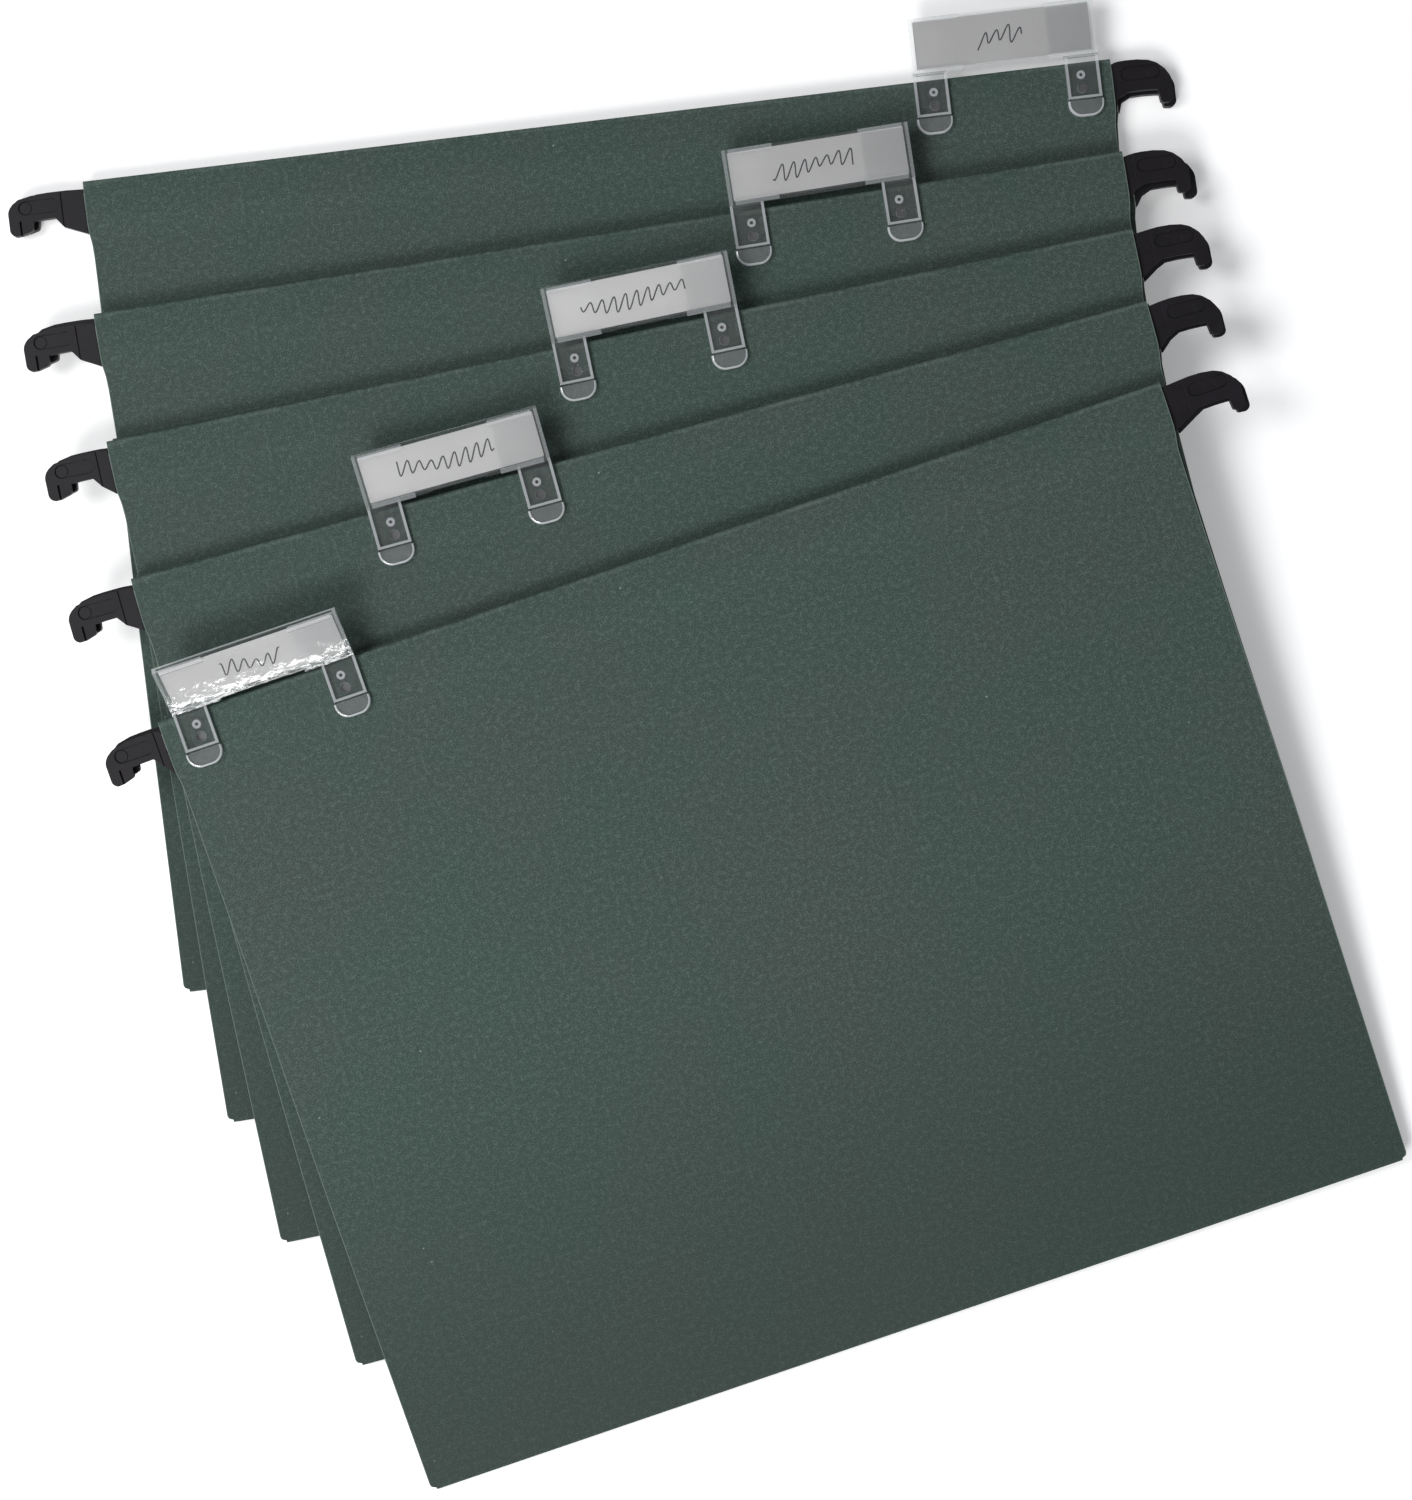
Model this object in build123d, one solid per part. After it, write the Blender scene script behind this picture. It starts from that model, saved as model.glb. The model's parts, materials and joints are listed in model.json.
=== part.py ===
"""Set of five suspension files lying shut in a fanned pile.

Each file is a folded board with a hem along both top edges.
Each hem holds a steel bar with a moulded hook on each end.
A clear tab with a card insert is studded through the front hem.
File 5 is at the bottom of the pile and file 1 is on top.
"""
import os
from math import asin, cos, degrees, radians, sin

from build123d import *

# Board of one file
board_width = 305.0
board_height = 240.0
board_thick = 0.4
fold_gap = 0.8  # between the two boards at the base crease
fold_open_deg = 60.0  # widest opening of any file
fold_clear_deg = 30.0  # left free behind the crease at the widest opening

# Hem along each top edge
hem_spare = 1.6  # pocket beyond the bar
hem_slope = 3.0
hem_glue = 6.0

# Steel bar inside each hem
bar_thick = 0.8
bar_clear = 0.2  # between the bar and each side of its pocket
bar_height = 11.0
bar_top = 2.4  # below the top edge of the board
bar_end_inset = 4.0  # inside the side edge of the board
bar_slide = {5: -2.7, 4: -1.6, 3: 0.5, 2: -0.4, 1: 1.9}  # each file's bars lie this far right
tongue_length = 7.0
tongue_height = 5.0
tongue_top = 3.5

# Moulded hook on each end of a bar: reach is outward, the rest is below the top edge
hook_thick = 2.6
hook_gap = 0.8  # between the two hooks of a shut file
hook_edge_gap = 0.3
hook_reach = 20.2
hook_drop = 15.2
hook_root = 2.4
notch_start = 7.2
left_hook = {"top": 2.3, "ceiling": 9.7, "tip": 13.9, "nose": 6.8}
right_hook = {"top": 1.4, "ceiling": 10.4, "tip": 14.7, "nose": 4.1}
hook_round = 0.3
hook_edge_break = 0.15
pad_start = 3.9
pad_end = 16.2
pad_height = 3.8
pad_drop = 3.7  # centre of the pad below the hook's top
pad_depth = 0.25
pad_mark_radius = 1.2
nose_step_depth = 0.4
nose_rim = 3.2
slot_clear = 0.05

# Clear tab
tab_width = 55.0
window_height = 16.2
window_rise = 1.6  # bottom of the window above the top edge of the board
tab_gap = 0.3  # between the tab's legs and the board
tab_plate = 0.8
cover_thick = 0.7
lip_height = 0.3
lip_width = 1.4
lip_length = 13.0
lip_inset = 1.8
end_wall = 1.0
foot_wall = 0.9
foot_opening = 16.0
cover_notch_width = 26.0
cover_notch_depth = 0.7
leg_width = 10.0
leg_length = 16.4
leg_round = 4.0
leg_rim = 0.8
leg_rim_height = 0.6
ridge_drop = 10.6
ridge_width = 0.7
lip_end_drop = 11.6
lip_end_thick = 1.7
ring_drop = 4.0
ring_radius = 1.25
ring_bore = 0.5
ring_height = 0.3
boss_drop = 7.8
boss_radius = 1.5
boss_height = 0.2
stud_radius = 1.25
stud_clear = 0.3
stud_inset = 0.6  # studs sit this far inside the centre line of a leg

# Card insert
card_thick = 0.25
card_clear = 0.325  # on each face
card_side_clear = 0.5
card_rest = 0.4  # above the tab's bottom wall
card_top_gap = 0.9

# Pile, from the bottom file up: shift across, shift along and turn on the file below
pile_gap = 0.3
file_count = 5
shift_across = {4: 8.3, 3: 9.7, 2: 14.0, 1: 11.0}
shift_along = {4: -34.0, 3: -30.4, 2: -30.7, 1: -32.4}
turn_deg = {4: 2.15, 3: 2.7, 2: 3.55, 1: 3.4}
back_skew_deg = {5: -0.3, 4: -0.55, 3: -0.3, 2: -0.3, 1: -0.4}
tab_place = {5: 0.985, 4: 0.754, 3: 0.53, 2: 0.285, 1: 0.02}  # 0 is far left, 1 is far right
tab_lean_deg = {5: 5.0, 4: 3.0, 3: 15.0, 2: 18.0, 1: 35.0}

# Derived sizes
hem_thick = 2 * (board_thick + bar_clear) + bar_thick
hem_pocket = bar_top + bar_height + hem_spare
mouth_thick = 2 * hook_thick + hook_gap
fold_thick = fold_gap + 2 * board_thick
wedge_deg = degrees(asin((mouth_thick - fold_thick) / board_height))
half_width = board_width / 2
hem_round = hem_thick / 2
bar_low = board_thick + bar_clear
cut_size = 2 * board_width
pivot_z = tab_gap + tab_plate / 2
leg_offset = (tab_width - leg_width) / 2
pocket_depth = card_thick + 2 * card_clear
card_width = tab_width - 2 * (end_wall + card_side_clear)
card_height = window_height - foot_wall - card_rest - card_top_gap


def flap(skew_deg):
    """One board with its hem: outer face at z = 0, hem folded towards +z."""
    top = board_height - hem_round
    pocket_end = board_height - hem_pocket
    slope_end = pocket_end - hem_slope
    glue_end = slope_end - hem_glue
    start = -hem_glue if skew_deg else 0.0
    with BuildSketch(Plane.YZ) as profile:
        with BuildLine():
            Line((start, 0), (top, 0))
            ThreePointArc((top, 0), (board_height, hem_round), (top, hem_thick))
            Line((top, hem_thick), (pocket_end, hem_thick))
            Line((pocket_end, hem_thick), (slope_end, 2 * board_thick))
            Line((slope_end, 2 * board_thick), (glue_end, 2 * board_thick))
            Line((glue_end, 2 * board_thick), (glue_end, board_thick))
            Line((glue_end, board_thick), (start, board_thick))
            Line((start, board_thick), (start, 0))
        make_face()
        with BuildLine():
            Line((top, board_thick), (slope_end, board_thick))
            Line((slope_end, board_thick), (pocket_end, hem_thick - board_thick))
            Line((pocket_end, hem_thick - board_thick), (top, hem_thick - board_thick))
            ThreePointArc(
                (top, hem_thick - board_thick),
                (board_height - board_thick, hem_round),
                (top, board_thick),
            )
        make_face(mode=Mode.SUBTRACT)
    panel = extrude(profile.sketch, half_width, both=True)
    if skew_deg:
        below = Pos(0, -cut_size / 2, 0) * Box(cut_size, cut_size, cut_size)
        panel = Rot(0, 0, skew_deg) * panel - below
    return panel


def crease():
    """Quarter of the base fold, on the back board's side."""
    outer = fold_thick / 2
    inner = fold_gap / 2
    end = radians(90 + fold_open_deg + fold_clear_deg)
    middle = (end + radians(270)) / 2
    with BuildSketch(Plane.YZ) as profile:
        with BuildLine():
            Line((0, -inner), (0, -outer))
            ThreePointArc(
                (0, -outer),
                (outer * cos(middle), outer * sin(middle)),
                (outer * cos(end), outer * sin(end)),
            )
            Line(
                (outer * cos(end), outer * sin(end)),
                (inner * cos(end), inner * sin(end)),
            )
            ThreePointArc(
                (inner * cos(end), inner * sin(end)),
                (inner * cos(middle), inner * sin(middle)),
                (0, -inner),
            )
        make_face()
    return Pos(0, 0, fold_thick / 2) * extrude(profile.sketch, half_width, both=True)


def bar(slide):
    """Steel strip with a narrower tongue at each end, lying a little to one side in its hem."""
    middle_y = board_height - bar_top - bar_height / 2
    tongue_y = board_height - tongue_top - tongue_height / 2
    middle_z = bar_low + bar_thick / 2
    strip = Box(board_width - 2 * bar_end_inset, bar_height, bar_thick)
    tongues = Box(board_width + 2 * tongue_length, tongue_height, bar_thick)
    return Pos(slide, middle_y, middle_z) * strip + Pos(slide, tongue_y, middle_z) * tongues


def hook(side, shape, slide):
    """Hook beyond one side edge (side is -1 for left, 1 for right), carried along by its bar."""
    edge = half_width + side * slide

    def at(outward, down):
        return (side * (edge + outward), board_height - down)

    root = hook_edge_gap - side * slide
    top = shape["top"]
    tip = shape["tip"]
    ceiling = shape["ceiling"]
    nose_inner = hook_reach - shape["nose"]
    corner = hook_reach / 8
    outline = [
        at(root, top + hook_round),
        at(hook_reach / 2, top),
        at(hook_reach - 2 * corner, top + hook_round),
        at(hook_reach - corner / 2, top + corner),
        at(hook_reach, top + 2 * corner),
        at(hook_reach - hook_round, tip - hook_round),
        at(hook_reach - 3 * hook_round, tip),
        at(nose_inner + 3 * hook_round, tip),
        at(nose_inner, tip - 3 * hook_round),
        at(nose_inner, ceiling),
        at(notch_start, ceiling),
        at(max(hook_root, root + hook_root / 2), hook_drop),
        at(root, hook_drop),
    ]
    with BuildPart() as part:
        with BuildSketch():
            with BuildLine():
                Polyline(*outline, close=True)
            make_face()
        extrude(amount=hook_thick)
        fillet(part.edges().filter_by(Axis.Z), hook_round)
        chamfer(part.faces().sort_by(Axis.Z)[0].edges(), hook_edge_break)
        pad_x = edge + (pad_start + pad_end) / 2
        pad_y = board_height - top - pad_drop
        with BuildSketch():
            with Locations((side * pad_x, pad_y)):
                SlotOverall(pad_end - pad_start, pad_height)
        extrude(amount=pad_depth, mode=Mode.SUBTRACT)
        mark_x = edge + pad_end - pad_height / 2
        with BuildSketch():
            with Locations((side * mark_x, pad_y)):
                Circle(pad_mark_radius)
        extrude(amount=2 * pad_depth, mode=Mode.SUBTRACT)
        step_length = shape["nose"] - nose_rim
        if step_length > pad_depth:
            step_x = edge + nose_inner + step_length / 2
            step_y = board_height - ceiling - (tip - ceiling) / 2
            with Locations((side * step_x, step_y, 0)):
                Box(step_length, tip - ceiling + pad_depth, 2 * nose_step_depth, mode=Mode.SUBTRACT)
        slot_length = 2 * (half_width + tongue_length + slot_clear)
        slot_y = board_height - tongue_top - tongue_height / 2
        slot_z = bar_low + bar_thick / 2
        with Locations((slide, slot_y, slot_z)):
            Box(
                slot_length,
                tongue_height + 2 * slot_clear,
                bar_thick + 2 * slot_clear,
                mode=Mode.SUBTRACT,
            )
    return part.part


def window(lean_deg):
    """Card pocket of the tab, leaned up about its bottom edge."""
    half = tab_width / 2
    back = tab_plate / 2
    front = back + pocket_depth
    face = front + cover_thick
    middle_y = window_height / 2
    body = Pos(0, middle_y, 0) * Box(tab_width, window_height, tab_plate)
    cover = Pos(0, middle_y, front + cover_thick / 2) * Box(tab_width, window_height, cover_thick)
    notch_y = window_height - cover_notch_depth / 2
    notch = Box(cover_notch_width, cover_notch_depth, 2 * cover_thick)
    cover -= Pos(0, notch_y, front + cover_thick / 2) * notch
    cover -= Pos(0, cover_notch_depth / 2, front + cover_thick / 2) * notch
    body += cover
    for side in (-1, 1):
        wall_x = side * (half - end_wall / 2)
        wall = Box(end_wall, window_height, pocket_depth)
        body += Pos(wall_x, middle_y, back + pocket_depth / 2) * wall
        foot_length = half - foot_opening / 2
        foot_x = side * (half - foot_length / 2)
        foot = Box(foot_length, foot_wall, pocket_depth)
        body += Pos(foot_x, foot_wall / 2, back + pocket_depth / 2) * foot
        lip_x = side * (half - lip_inset - lip_length / 2)
        lip = Box(lip_length, lip_width, lip_height)
        for lip_y in (lip_width / 2, window_height - lip_width / 2):
            body += Pos(lip_x, lip_y, face + lip_height / 2) * lip
    return Pos(0, window_rise, pivot_z) * Rot(lean_deg, 0, 0) * body


def leg(side):
    """Leg in front of the hem, with a hollow stud and a solid stud."""
    length = leg_length + window_rise
    middle_y = window_rise - length / 2
    outline = Pos(0, middle_y, tab_gap + tab_plate / 2) * Box(leg_width, length, tab_plate)
    low_corners = outline.edges().filter_by(Axis.Z).group_by(Axis.Y)[0]
    outline = fillet(low_corners, leg_round)
    thick = Pos(0, middle_y, tab_gap + lip_end_thick / 2) * Box(leg_width, length, lip_end_thick)
    low_corners = thick.edges().filter_by(Axis.Z).group_by(Axis.Y)[0]
    thick = fillet(low_corners, leg_round)
    keep = Pos(0, -lip_end_drop - leg_length / 2, 0) * Box(2 * leg_width, leg_length, leg_length)
    body = outline + (thick & keep)
    rim_top = tab_gap + tab_plate + leg_rim_height / 2
    rim_length = ridge_drop + window_rise
    for edge in (-1, 1):
        rim_x = edge * (leg_width - leg_rim) / 2
        rim = Box(leg_rim, rim_length, leg_rim_height)
        body += Pos(rim_x, window_rise - rim_length / 2, rim_top) * rim
    ridge = Box(leg_width, ridge_width, leg_rim_height)
    body += Pos(0, -ridge_drop, rim_top) * ridge
    joint = Rot(0, 90, 0) * Cylinder(tab_plate / 2, leg_width)
    body += Pos(0, window_rise, pivot_z) * joint
    stud_length = tab_gap + board_thick
    stud_x = -side * stud_inset
    ring = Cylinder(ring_radius, ring_height)
    boss = Cylinder(boss_radius, boss_height)
    stud = Cylinder(stud_radius, stud_length)
    plate_top = tab_gap + tab_plate
    stud_z = tab_gap - stud_length / 2
    body += Pos(stud_x, -ring_drop, plate_top + ring_height / 2) * ring
    body += Pos(stud_x, -boss_drop, plate_top + boss_height / 2) * boss
    body += Pos(stud_x, -ring_drop, stud_z) * stud
    body += Pos(stud_x, -boss_drop, stud_z) * stud
    body -= Pos(stud_x, -ring_drop, 0) * Cylinder(ring_bore, leg_length)
    return Pos(side * leg_offset, 0, 0) * body


def tab_holder(lean_deg):
    """Clear tab: origin at its middle on the board's top edge and outer face."""
    return window(lean_deg) + leg(-1) + leg(1)


def tab_card(lean_deg):
    """Card insert inside the tab's pocket."""
    low = foot_wall + card_rest
    card = Pos(0, low + card_height / 2, (tab_plate + pocket_depth) / 2)
    card = card * Box(card_width, card_height, card_thick)
    return Pos(0, window_rise, pivot_z) * Rot(lean_deg, 0, 0) * card


def stud_holes(tab_x):
    """Holes punched in the front board for one tab."""
    holes = []
    for side in (-1, 1):
        hole_x = tab_x + side * (leg_offset - stud_inset)
        for drop in (ring_drop, boss_drop):
            hole = Cylinder(stud_radius + stud_clear, 3 * board_thick)
            holes.append(Pos(hole_x, board_height - drop, 0) * hole)
    return holes


def file_places():
    """Place of each file's back face, front face and hinge, before centring."""
    places = {}
    back = Pos(0, 0, 0)
    for number in range(file_count, 0, -1):
        hinge = back * Pos(0, 0, fold_thick / 2)
        front = hinge * Rot(wedge_deg, 0, 0) * Pos(0, 0, fold_thick / 2)
        places[number] = {"back": back, "hinge": hinge, "front": front}
        if number > 1:
            above = number - 1
            step = Pos(shift_across[above], shift_along[above], pile_gap)
            back = front * step * Rot(0, 0, turn_deg[above])
    return places


def tab_x(number):
    """Middle of a file's tab, from the middle of its board."""
    return (tab_place[number] - 0.5) * (board_width - tab_width)


def build_nodes():
    """All solids in pile coordinates, by node name."""
    nodes = {}
    for number, place in file_places().items():
        skew = Rot(0, 0, back_skew_deg[number])
        back = place["back"]
        front = place["front"]
        lean = tab_lean_deg[number]
        tab = front * Pos(tab_x(number), board_height, 0)
        name = f"file{number}_"
        front_board = mirror(flap(0), about=Plane.XY)
        for hole in stud_holes(tab_x(number)):
            front_board -= hole
        nodes[name + "back_board"] = back * (flap(back_skew_deg[number]) + crease())
        nodes[name + "front_board"] = front * front_board
        strip = bar(bar_slide[number])
        nodes[name + "back_bar"] = back * skew * strip
        nodes[name + "front_bar"] = front * mirror(strip, about=Plane.XY)
        for side, word, shape in ((-1, "left", left_hook), (1, "right", right_hook)):
            piece = hook(side, shape, bar_slide[number])
            nodes[name + "back_hook_" + word] = back * skew * piece
            nodes[name + "front_hook_" + word] = front * mirror(piece, about=Plane.XY)
        nodes[name + "tab_holder"] = tab * tab_holder(lean)
        nodes[name + "tab_card"] = tab * tab_card(lean)
    return nodes


def pile_origin(nodes):
    """Middle of the pile's underside."""
    boxes = [solid.bounding_box() for solid in nodes.values()]
    left = min(box.min.X for box in boxes)
    right = max(box.max.X for box in boxes)
    near = min(box.min.Y for box in boxes)
    far = max(box.max.Y for box in boxes)
    return Vector((left + right) / 2, (near + far) / 2, min(box.min.Z for box in boxes))


if __name__ == "__main__":
    os.makedirs("parts", exist_ok=True)
    solids = build_nodes()
    origin = pile_origin(solids)
    for node, solid in solids.items():
        export_step(Pos(-origin.X, -origin.Y, -origin.Z) * solid, f"parts/{node}.step")
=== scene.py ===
"""Looks of five suspension files lying shut in a fanned pile.

Lengths are in metres unless a comment says otherwise. File 5 is at the bottom and file 1 on top.
A file's own frame has its origin at a crease, x along the crease and y towards the hem.
"""
import json
from math import atan2, ceil, cos, pi, radians, sin, sqrt

import bpy
from mathutils import Matrix, Vector, noise


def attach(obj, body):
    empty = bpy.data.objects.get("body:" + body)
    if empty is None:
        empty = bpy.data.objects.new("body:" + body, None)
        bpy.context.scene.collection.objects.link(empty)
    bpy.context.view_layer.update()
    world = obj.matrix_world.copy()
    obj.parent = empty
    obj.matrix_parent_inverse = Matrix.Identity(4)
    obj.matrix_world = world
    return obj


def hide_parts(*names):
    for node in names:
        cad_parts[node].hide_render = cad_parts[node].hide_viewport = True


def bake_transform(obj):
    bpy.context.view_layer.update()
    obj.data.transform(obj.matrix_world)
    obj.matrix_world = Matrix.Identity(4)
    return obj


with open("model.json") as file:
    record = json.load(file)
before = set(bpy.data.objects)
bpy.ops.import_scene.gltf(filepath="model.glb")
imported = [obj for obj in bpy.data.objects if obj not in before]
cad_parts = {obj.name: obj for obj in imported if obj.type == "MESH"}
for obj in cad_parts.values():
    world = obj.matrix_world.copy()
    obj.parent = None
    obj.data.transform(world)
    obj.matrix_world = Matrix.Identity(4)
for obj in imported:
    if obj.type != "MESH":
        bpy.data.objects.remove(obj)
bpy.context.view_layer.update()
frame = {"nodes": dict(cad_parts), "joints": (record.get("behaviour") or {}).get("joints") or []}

MM = 0.001
FILES = range(5, 0, -1)
JOINTS = {joint["name"]: joint for joint in frame["joints"]}

# Camera
CAMERA_AIM = Vector((-3.47, 0.75, 0)) * MM
CAMERA_DISTANCE = 890.1 * MM
CAMERA_ROLL = radians(-6.99)
CAMERA_TILT = radians(0.10)
CAMERA_SWAY = radians(-0.83)
CAMERA_LENS = 72.0
CAMERA_SENSOR = 36.0

# Folded board
BOARD_THICK = 0.4 * MM
CREASE_OUTER = 0.8 * MM
CREASE_STEPS = 10
HEM_STEPS = 8
HEM_POCKET = 15.0 * MM
HEM_SLOPE = 3.0 * MM
HEM_GLUE = 6.0 * MM
ROW_STEP = 12.0 * MM
FINE_ROW_STEP = 2.5 * MM
FINE_ROWS_FROM = 36.0 * MM  # below the top edge
COLUMNS = 24
CORNER_ROUND = 1.6 * MM
MAP_MIDDLE = 0.5  # of the sheet's own map, which keeps its values above zero

# How a made board differs from a flat one. A band is measured down from the top edge:
# its first pair is where the effect grows, and its second pair is where it fades.
PANEL_INSET = 0.7 * MM  # the panel is this much narrower just below the hem, at each side
PANEL_INSET_BAND = ((14 * MM, 21 * MM), (50 * MM, 150 * MM))
HEM_SWELL = 1.0 * MM
HEM_SWELL_PRESSED = 0.15 * MM  # under the legs of a tab, and on the side that lies on the file below
HEM_SWELL_BAND = ((-4 * MM, 12 * MM), (12 * MM, 18 * MM))
PRESSED_NEAR = 5 * MM  # the hem is held flat this close to the middle of a leg
PRESSED_FAR = 13 * MM  # and free from here on
VALLEY_DEPTH = 0.15 * MM
VALLEY_BAND = ((13 * MM, 20 * MM), (22 * MM, 46 * MM))
WAVE_HEIGHT = 0.10 * MM
WAVE_SIZE = 75 * MM
WAVE_STRETCH = 1.3
TOP_BOW = 0.7 * MM
TOP_BOW_SIZE = 130 * MM
TOP_BOW_ARCH = 0.55
FREE_FROM_CREASE = (2 * MM, 30 * MM)  # waves and the bow grow over this stretch
FREE_FROM_TOP = (16 * MM, 50 * MM)

# Hooks: outward from the board's edge, then top and bottom below its top edge, in millimetres
LEFT_HOOK = (
    (0.3, 2.6, 15.4), (4.4, 2.3, 12.6), (6.6, 2.3, 9.7), (10.2, 2.35, 9.8),
    (13.1, 2.5, 10.0), (13.5, 2.6, 12.8), (16.9, 3.3, 13.8), (18.7, 4.5, 13.9), (20.2, 6.2, 13.2),
)
RIGHT_HOOK = (
    (0.3, 1.7, 14.9), (3.9, 1.3, 12.0), (6.9, 1.1, 10.5), (10.5, 1.2, 10.4), (13.8, 1.7, 10.5),
    (15.9, 2.6, 10.7), (16.4, 2.9, 14.6), (18.5, 4.8, 14.8), (20.2, 7.6, 14.2),
)
HOOK_SHAPES = {
    "left": {"side": -1, "stations": LEFT_HOOK, "nose_start": 13.5, "pad_drop": 3.6, "slit": True},
    "right": {"side": 1, "stations": RIGHT_HOOK, "nose_start": 16.4, "pad_drop": 4.0, "slit": False},
}
HOOK_THICK = 2.6 * MM
HOOK_MIDDLE = 8.0
HOOK_END_ROUND = 1.2
HOOK_NOSE_ROUND = 0.6
HOOK_EDGE = 0.22
ROOT_REACH = 1.5 * MM  # the root's end face lies inside this
COLLAR_END = 4.4
COLLAR_STEP = 0.45
COLLAR_LOW = 20.0
PAD_GAP = 0.9  # between the collar and the pad
PAD_INSET = 3.2  # from the hook's end
PAD_HALF = 2.0
PAD_DEPTH = 0.5
PAD_DISC_DEPTH = 0.28
PAD_DISC_RADIUS = 1.75
SLIT_INSET = 3.1  # from the hook's end
SLIT_WIDTH = 0.5
SLIT_TOP = 9.6
SLIT_LOW = 15.0
SLIT_DEPTH = 0.9

# Clear tab, in millimetres
WINDOW_RISE = 1.6
TAB_GAP = 0.3
TAB_PLATE = 0.8
POCKET = 0.9
COVER_THICK = 0.7
END_WALL = 1.0
WALL_RISE = 0.12
FOOT_WALL = 0.9
FOOT_OPENING = 16.0
NOTCH_WIDTH = 26.0
NOTCH_DEPTH = 0.7
LIP_INSET = 1.8
LIP_LENGTH = 13.0
LIP_WIDTH = 1.4
LIP_HEIGHT = 0.3
LEG_WIDTH = 10.0
LEG_LENGTH = 16.4
LEG_ROUND = 4.0
LEG_RIM = 0.8
LEG_RIM_HEIGHT = 0.6
RIDGE_DROP = 10.6
RIDGE_WIDTH = 0.7
LIP_END_DROP = 11.6
LIP_END_THICK = 1.7
LIP_END_RISE = 0.15
LIP_END_EDGE = 0.6
LIP_END_REACH = 0.35
RING_DROP = 4.0
RING_RADIUS = 1.25
RING_BORE = 0.5
RING_HEIGHT = 0.3
BOSS_DROP = 7.8
BOSS_RADIUS = 1.5
BOSS_HEIGHT = 0.2
STUD_INSET = 0.6
STUD_HOLE_RADIUS = 1.55
STUD_HOLE_REACH = (-0.9, 1.5)  # from inside the hem to above the board
PIVOT = TAB_GAP + TAB_PLATE / 2
OVERLAP = 0.02  # pieces that are joined into one reach this far into each other
CLEAR_EDGE = 0.2
FLAT = 0.97  # a face of a clear piece counts as flat when its normal's z is at least this

# Card inserts, in millimetres
CARD_ROUND = 0.4
CARD_EDGE = 0.05

# Pen stroke on each card
PEN_RADIUS = 0.21 * MM
PEN_FLATNESS = 0.15
STROKE_SHARE = {5: 0.24, 4: 0.46, 3: 0.60, 2: 0.56, 1: 0.34}  # of the card's width
STROKE_START = 0.55  # of the stroke's length, left of the card's middle
STROKE_PITCH = 3.4 * MM
STROKE_HEIGHT = 2.6 * MM
STROKE_SLANT = 0.3
STROKE_DRIFT = 0.35  # of its height, up and down along the card
POINTS_PER_WAVE = 8

# Lights: place, the point each one faces, width and height, all in metres, and watts
LIGHTS = {
    "left": ((-0.75, 0.20, 1.0), (-0.05, 0.05, 0), (0.5, 0.5), 7.4),
    "front": ((-0.75, -0.95, 1.35), (0, 0, 0), (0.7, 0.7), 19),
    "low_front": ((0.30, -1.6, 0.36), (-0.1, 0.0, 0), (0.9, 0.14), 4),
}
WORLD_COLOUR = (0.95, 0.97, 1.0, 1)
WORLD_STRENGTH = 0.30
FLOOR_SIZE = 6
FLOOR_GLOW = 0.22

NEAR = 0.01  # places closer than this, in millimetres, count as one
SHARP = 40  # edges that turn by more than this many degrees are broken
PAST = 1.0  # cutting shapes run this far past the face they cut, in millimetres


# Tools


def only(piece):
    """Makes a piece the only selected one."""
    bpy.ops.object.select_all(action="DESELECT")
    piece.select_set(True)
    bpy.context.view_layer.objects.active = piece


def modify(piece, kind, **settings):
    """Adds a modifier and applies it."""
    only(piece)
    modifier = piece.modifiers.new(kind.lower(), kind)
    for key, value in settings.items():
        setattr(modifier, key, value)
    bpy.ops.object.modifier_apply(modifier=modifier.name)


def combine(piece, tools, operation="UNION"):
    """Joins tools to a piece, or cuts them out of it."""
    for tool in tools:
        modify(piece, "BOOLEAN", object=tool, operation=operation, solver="EXACT")
        bpy.data.objects.remove(tool)
    return piece


def block(low, high):
    """Box between two corners in millimetres."""
    low, high = Vector(low) * MM, Vector(high) * MM
    bpy.ops.object.select_all(action="DESELECT")
    bpy.ops.mesh.primitive_cube_add(size=1, location=(low + high) / 2, scale=high - low)
    bpy.ops.object.transform_apply()
    return bpy.context.object


def rod(x, y, low, high, radius, sides=32):
    """Upright cylinder in millimetres."""
    bpy.ops.object.select_all(action="DESELECT")
    bpy.ops.mesh.primitive_cylinder_add(
        vertices=sides, radius=radius * MM, depth=(high - low) * MM,
        location=Vector((x, y, (low + high) / 2)) * MM,
    )
    bpy.ops.object.transform_apply()
    return bpy.context.object


def choose(piece, vertices=None, edges=None):
    """Opens a piece for editing with only the chosen vertices or edges selected."""
    only(piece)
    bpy.ops.object.mode_set(mode="EDIT")
    bpy.ops.mesh.select_mode(type="VERT" if vertices else "EDGE")
    bpy.ops.mesh.select_all(action="DESELECT")
    bpy.ops.object.mode_set(mode="OBJECT")
    mesh = piece.data
    if vertices:
        for vertex in mesh.vertices:
            vertex.select = vertices(vertex)
    else:
        for edge in mesh.edges:
            ends = [mesh.vertices[index].co / MM for index in edge.vertices]
            edge.select = edges(*ends)
    bpy.ops.object.mode_set(mode="EDIT")


def leave():
    """Closes the piece that is being edited."""
    bpy.ops.object.mode_set(mode="OBJECT")


def upright(a, b):
    """Whether an edge between two points runs along z."""
    return abs(a.z - b.z) > 0.9 * (a - b).length


def round_edges(piece, chosen, radius, segments=4):
    """Bevels the edges whose two ends, in millimetres, satisfy a test."""
    choose(piece, edges=chosen)
    bpy.ops.mesh.bevel(offset=radius * MM, segments=segments, affect="EDGES")
    leave()


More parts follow.
